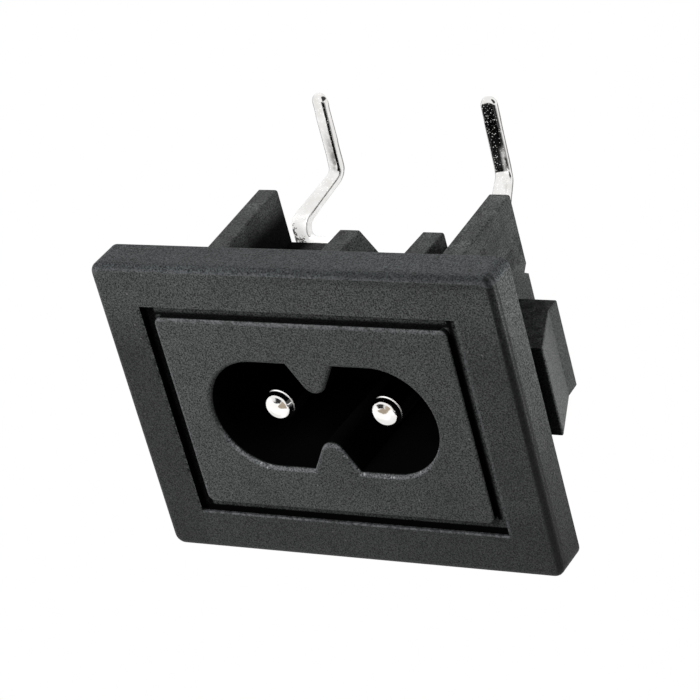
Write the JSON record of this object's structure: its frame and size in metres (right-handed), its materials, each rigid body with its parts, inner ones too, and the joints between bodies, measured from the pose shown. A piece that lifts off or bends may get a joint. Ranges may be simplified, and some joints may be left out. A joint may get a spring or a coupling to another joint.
{
  "type": "right-angle iec inlet",
  "caption": "Right-angle appliance inlet with a figure-of-eight well, round contact pins, snap-in side latches and solder tails turned up from its rear.",
  "frame": {"origin": "centre of the flange's rear face, on the plane of the panel it snaps into, midway between the pins", "axes": "+X along the pins' pitch, -Y out of the mating face (the side the cord's connector comes from), +Z the way the solder tails point, towards the board"},
  "size_m": [0.0316, 0.0195, 0.0269],
  "materials": {
    "housing_plastic": "fine matt mould texture, dark charcoal thermoplastic",
    "pin_metal": "bright nickel plate over turned brass",
    "tail_metal": "bright nickel plate over stamped brass strip"
  },
  "bodies": {
    "root": {"housing": "housing_plastic", "pin_right": "pin_metal", "pin_left": "pin_metal", "tail_right": "tail_metal", "tail_left": "tail_metal"}
  },
  "joints": []
}
